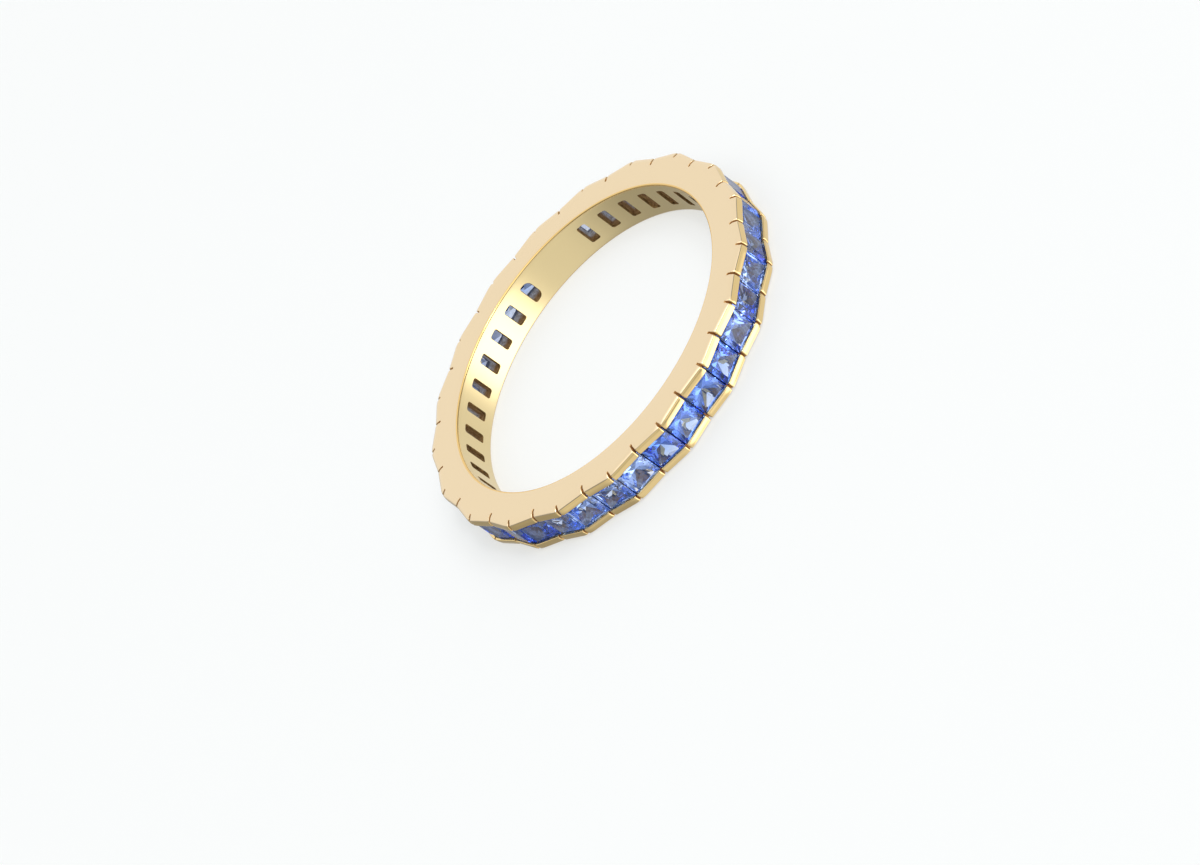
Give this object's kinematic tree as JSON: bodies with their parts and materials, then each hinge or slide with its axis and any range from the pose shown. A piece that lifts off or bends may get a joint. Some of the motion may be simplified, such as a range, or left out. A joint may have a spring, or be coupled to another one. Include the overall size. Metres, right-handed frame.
{
  "type": "eternity ring",
  "caption": "Full eternity ring: a polished yellow gold finger band with square princess-cut blue sapphires channel set edge to edge all round.",
  "frame": {"origin": "centre of the finger hole, on the lower side face that the ring rests on", "axes": "+Z along the finger hole's axis; +X towards the middle of the stretch of the bore without windows"},
  "size_m": [0.0208, 0.0208, 0.0024],
  "materials": {
    "yellow_gold": "polished",
    "sapphire": "cut and polished"
  },
  "bodies": {
    "root": {"band": "yellow_gold", "sapphire_01": "sapphire", "sapphire_02": "sapphire", "sapphire_03": "sapphire", "sapphire_04": "sapphire", "sapphire_05": "sapphire", "sapphire_06": "sapphire", "sapphire_07": "sapphire", "sapphire_08": "sapphire", "sapphire_09": "sapphire", "sapphire_10": "sapphire", "sapphire_11": "sapphire", "sapphire_12": "sapphire", "sapphire_13": "sapphire", "sapphire_14": "sapphire", "sapphire_15": "sapphire", "sapphire_16": "sapphire", "sapphire_17": "sapphire", "sapphire_18": "sapphire", "sapphire_19": "sapphire", "sapphire_20": "sapphire", "sapphire_21": "sapphire", "sapphire_22": "sapphire", "sapphire_23": "sapphire", "sapphire_24": "sapphire", "sapphire_25": "sapphire", "sapphire_26": "sapphire", "sapphire_27": "sapphire", "sapphire_28": "sapphire", "sapphire_29": "sapphire", "sapphire_30": "sapphire", "sapphire_31": "sapphire", "sapphire_32": "sapphire", "sapphire_33": "sapphire", "sapphire_34": "sapphire", "sapphire_35": "sapphire", "sapphire_36": "sapphire", "sapphire_37": "sapphire", "sapphire_38": "sapphire"}
  },
  "joints": []
}
